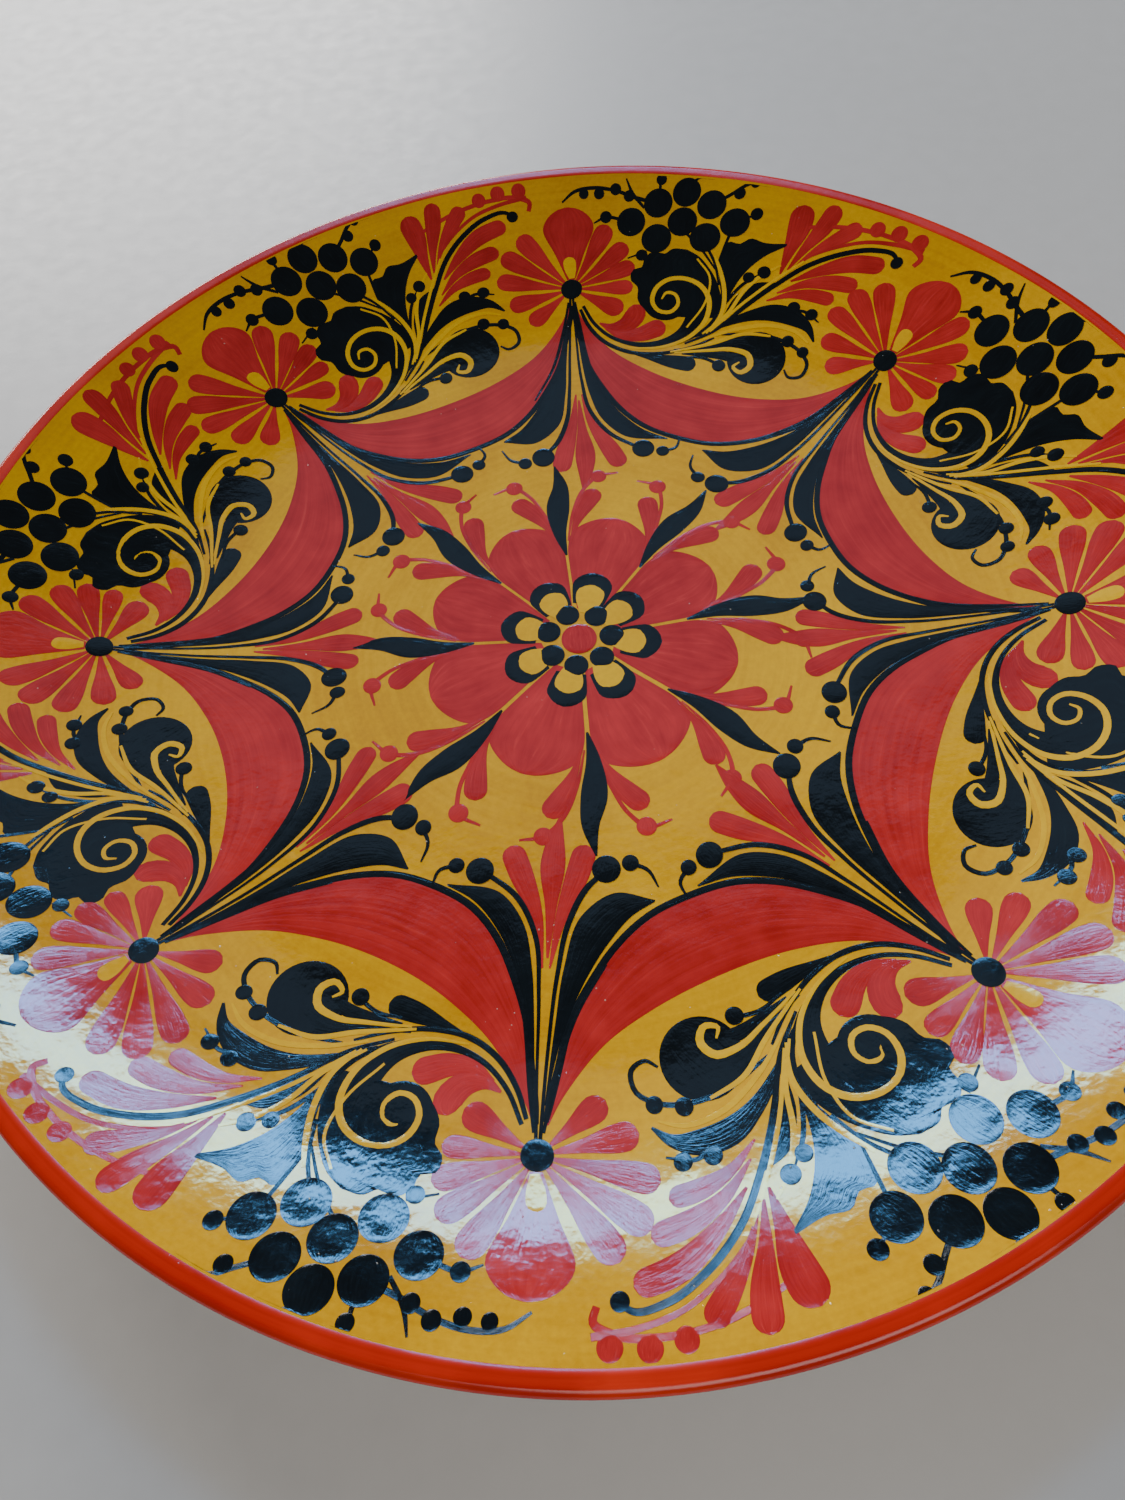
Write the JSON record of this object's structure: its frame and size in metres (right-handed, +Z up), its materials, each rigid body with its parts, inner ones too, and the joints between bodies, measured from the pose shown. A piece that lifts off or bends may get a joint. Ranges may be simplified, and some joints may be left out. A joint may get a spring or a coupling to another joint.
{
  "type": "painted wooden dish",
  "caption": "Shallow turned wooden dish with a flat floor, a curved wall and a foot ring, lacquered and painted with a folk wreath of flowers, berries and leaves.",
  "frame": {"origin": "centre of the foot ring's resting face", "axes": "+Z up along the axis of revolution; +Y towards the far side as the dish is usually seen"},
  "size_m": [0.3, 0.3, 0.0311],
  "materials": {
    "bare_wood": "bare turned lime wood on the foot ring",
    "gilt": "golden lacquer over a metallic ground, hand-rubbed, glossy",
    "rim_red": "red lacquer, glossy, brushed round the rim",
    "red_paint": "red brush strokes under clear lacquer",
    "black_paint": "black brush strokes under clear lacquer",
    "back_lacquer": "plain black lacquer on the underside"
  },
  "bodies": {
    "root": {"wood_body": "bare_wood", "gilt_ground": "gilt", "rim_band": "rim_red", "back_coat": "back_lacquer", "foot_well_coat": "back_lacquer", "flower_petals": "red_paint", "flower_hearts": "black_paint", "ribbon_crescents": "red_paint", "spray_leaves": "black_paint", "spray_palmettes": "red_paint", "berries": "black_paint", "bush_foliage": "black_paint", "grape_berries": "black_paint", "vine_stems": "black_paint", "rim_palmettes": "red_paint", "rosette_eye": "red_paint", "rosette_dots": "black_paint", "rosette_horseshoes": "black_paint", "rosette_petals": "red_paint", "rosette_leaves": "black_paint", "rosette_drops": "red_paint"}
  },
  "joints": []
}
